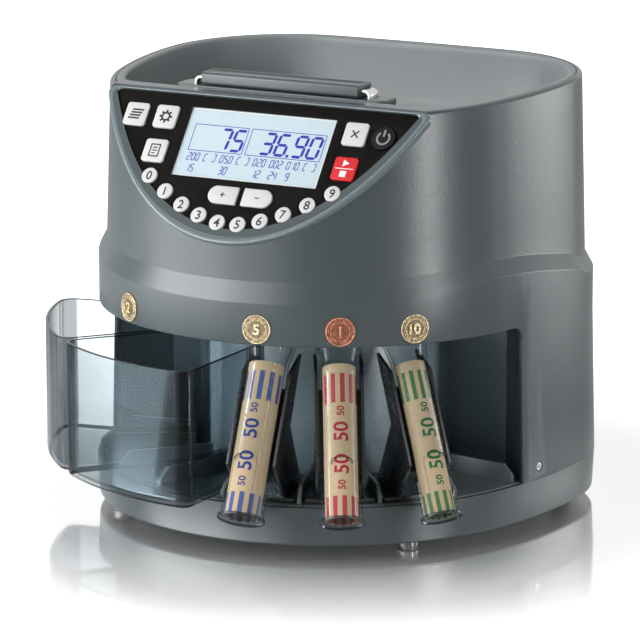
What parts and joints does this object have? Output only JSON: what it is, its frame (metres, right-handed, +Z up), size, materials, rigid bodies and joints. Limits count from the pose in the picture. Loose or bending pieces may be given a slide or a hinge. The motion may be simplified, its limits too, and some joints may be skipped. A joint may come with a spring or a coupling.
{
  "type": "coin counting machine",
  "caption": "Counter-top coin counter with an open hopper, sloping keypad panel, clear coin cups and leaning tubes that hold paper coin rolls.",
  "frame": {"origin": "on the counter, under the spindle of the coin disc, at the middle of the centre foot", "axes": "+Z up; the control panel and bays face -Y; +X to the right of someone facing the panel"},
  "size_m": [0.342, 0.3418, 0.2899],
  "materials": {
    "slate": "fine-grained slate grey plastic",
    "rubber": "matt black rubber",
    "black": "matt black plastic",
    "overlay": "satin black printed film",
    "window": "clear window",
    "display": "pale blue lit display",
    "circuit_board": "green circuit board",
    "key_grey": "light grey keys",
    "key_red": "red key",
    "steel": "brushed",
    "label": "gold and copper coloured discs",
    "chrome": "bright",
    "smoke": "smoky clear plastic",
    "clear": "clear plastic",
    "paper": "brown kraft paper"
  },
  "bodies": {
    "machine": {"base_tray": "slate", "bay_floor": "slate", "jamb_panels": "slate", "main_housing": "slate", "hopper_bowl": "slate", "handle_guide": "slate", "rubber_feet": "rubber", "bay_wall": "black", "upper_chassis": "black", "panel_plate": "black", "exit_chutes": "black", "drive_belt": "black", "rear_ports": "black", "panel_overlay": "overlay", "display_glass": "window", "display_module": "display", "key_board": "circuit_board", "main_board": "circuit_board", "sort_ring": "steel", "bearings": "steel", "drive_motor": "steel", "power_supply": "steel", "housing_screws": "steel", "coin_labels": "label"},
    "key_0": {"key_0": "key_grey"},
    "key_1": {"key_1": "key_grey"},
    "key_2": {"key_2": "key_grey"},
    "key_3": {"key_3": "key_grey"},
    "key_4": {"key_4": "key_grey"},
    "key_5": {"key_5": "key_grey"},
    "key_6": {"key_6": "key_grey"},
    "key_7": {"key_7": "key_grey"},
    "key_8": {"key_8": "key_grey"},
    "key_9": {"key_9": "key_grey"},
    "key_plus": {"key_plus": "key_grey"},
    "key_minus": {"key_minus": "key_grey"},
    "key_batch": {"key_batch": "key_grey"},
    "key_set": {"key_set": "key_grey"},
    "key_print": {"key_print": "key_grey"},
    "key_clear": {"key_clear": "key_grey"},
    "key_start_stop": {"key_start_stop": "key_red"},
    "key_power": {"key_power": "black"},
    "disc": {"coin_disc": "steel", "hub_cap": "black", "spindle": "steel", "disc_pulley": "black"},
    "motor_rotor": {"motor_pulley": "black"},
    "handle": {"handle_grip": "slate", "handle_straps": "chrome"},
    "cup_front": {"cup_front": "smoke"},
    "cup_rear": {"cup_rear": "smoke"},
    "stand_1": {"tube_stand_1": "black"},
    "tube_1": {"coin_tube_1": "clear", "roll_wrapper_1": "paper"},
    "stand_2": {"tube_stand_2": "black"},
    "tube_2": {"coin_tube_2": "clear", "roll_wrapper_2": "paper"},
    "stand_3": {"tube_stand_3": "black"},
    "tube_3": {"coin_tube_3": "clear", "roll_wrapper_3": "paper"}
  },
  "joints": [
    {"name": "key_0_press", "type": "slide", "parent": "machine", "child": "key_0", "axis": [0, 0.7965, -0.6046], "range_m": [0, 0.0008], "stiffness_N_per_m": 500},
    {"name": "key_1_press", "type": "slide", "parent": "machine", "child": "key_1", "axis": [0, 0.7965, -0.6046], "range_m": [0, 0.0008], "stiffness_N_per_m": 500},
    {"name": "key_2_press", "type": "slide", "parent": "machine", "child": "key_2", "axis": [0, 0.7965, -0.6046], "range_m": [0, 0.0008], "stiffness_N_per_m": 500},
    {"name": "key_3_press", "type": "slide", "parent": "machine", "child": "key_3", "axis": [0, 0.7965, -0.6046], "range_m": [0, 0.0008], "stiffness_N_per_m": 500},
    {"name": "key_4_press", "type": "slide", "parent": "machine", "child": "key_4", "axis": [0, 0.7965, -0.6046], "range_m": [0, 0.0008], "stiffness_N_per_m": 500},
    {"name": "key_5_press", "type": "slide", "parent": "machine", "child": "key_5", "axis": [0, 0.7965, -0.6046], "range_m": [0, 0.0008], "stiffness_N_per_m": 500},
    {"name": "key_6_press", "type": "slide", "parent": "machine", "child": "key_6", "axis": [0, 0.7965, -0.6046], "range_m": [0, 0.0008], "stiffness_N_per_m": 500},
    {"name": "key_7_press", "type": "slide", "parent": "machine", "child": "key_7", "axis": [0, 0.7965, -0.6046], "range_m": [0, 0.0008], "stiffness_N_per_m": 500},
    {"name": "key_8_press", "type": "slide", "parent": "machine", "child": "key_8", "axis": [0, 0.7965, -0.6046], "range_m": [0, 0.0008], "stiffness_N_per_m": 500},
    {"name": "key_9_press", "type": "slide", "parent": "machine", "child": "key_9", "axis": [0, 0.7965, -0.6046], "range_m": [0, 0.0008], "stiffness_N_per_m": 500},
    {"name": "key_plus_press", "type": "slide", "parent": "machine", "child": "key_plus", "axis": [0, 0.7965, -0.6046], "range_m": [0, 0.0008], "stiffness_N_per_m": 500},
    {"name": "key_minus_press", "type": "slide", "parent": "machine", "child": "key_minus", "axis": [0, 0.7965, -0.6046], "range_m": [0, 0.0008], "stiffness_N_per_m": 500},
    {"name": "key_batch_press", "type": "slide", "parent": "machine", "child": "key_batch", "axis": [0, 0.7965, -0.6046], "range_m": [0, 0.0008], "stiffness_N_per_m": 500},
    {"name": "key_set_press", "type": "slide", "parent": "machine", "child": "key_set", "axis": [0, 0.7965, -0.6046], "range_m": [0, 0.0008], "stiffness_N_per_m": 500},
    {"name": "key_print_press", "type": "slide", "parent": "machine", "child": "key_print", "axis": [0, 0.7965, -0.6046], "range_m": [0, 0.0008], "stiffness_N_per_m": 500},
    {"name": "key_clear_press", "type": "slide", "parent": "machine", "child": "key_clear", "axis": [0, 0.7965, -0.6046], "range_m": [0, 0.0008], "stiffness_N_per_m": 500},
    {"name": "key_start_stop_press", "type": "slide", "parent": "machine", "child": "key_start_stop", "axis": [0, 0.7965, -0.6046], "range_m": [0, 0.0008], "stiffness_N_per_m": 500},
    {"name": "key_power_press", "type": "slide", "parent": "machine", "child": "key_power", "axis": [0, 0.7965, -0.6046], "range_m": [0, 0.0008], "stiffness_N_per_m": 500},
    {"name": "disc_spin", "type": "hinge", "parent": "machine", "child": "disc", "pos_m": [0, 0, 0.15], "axis": [0, 0, 1], "continuous": true},
    {"name": "motor_spin", "type": "hinge", "parent": "machine", "child": "motor_rotor", "pos_m": [0, 0.078, 0.1], "axis": [0, 0, 1], "continuous": true},
    {"name": "handle_lift", "type": "slide", "parent": "machine", "child": "handle", "axis": [0, 0, 1], "range_m": [0, 0.015]},
    {"name": "cup_front_pull", "type": "slide", "parent": "machine", "child": "cup_front", "axis": [-0.342, -0.9397, 0], "range_m": [0, 0.1]},
    {"name": "cup_rear_pull", "type": "slide", "parent": "machine", "child": "cup_rear", "axis": [-0.866, -0.5, 0], "range_m": [0, 0.1]},
    {"name": "stand_1_pull", "type": "slide", "parent": "machine", "child": "stand_1", "axis": [0.1736, -0.9848, 0], "range_m": [0, 0.07]},
    {"name": "tube_1_pull", "type": "slide", "parent": "stand_1", "child": "tube_1", "axis": [0.1736, -0.9848, 0], "range_m": [0, 0.03]},
    {"name": "stand_2_pull", "type": "slide", "parent": "machine", "child": "stand_2", "axis": [0.5, -0.866, 0], "range_m": [0, 0.07]},
    {"name": "tube_2_pull", "type": "slide", "parent": "stand_2", "child": "tube_2", "axis": [0.5, -0.866, 0], "range_m": [0, 0.03]},
    {"name": "stand_3_pull", "type": "slide", "parent": "machine", "child": "stand_3", "axis": [0.766, -0.6428, 0], "range_m": [0, 0.07]},
    {"name": "tube_3_pull", "type": "slide", "parent": "stand_3", "child": "tube_3", "axis": [0.766, -0.6428, 0], "range_m": [0, 0.03]}
  ],
  "couplings": [
    {"joint": "motor_spin", "follows": "disc_spin", "ratio": 2.8333}
  ]
}
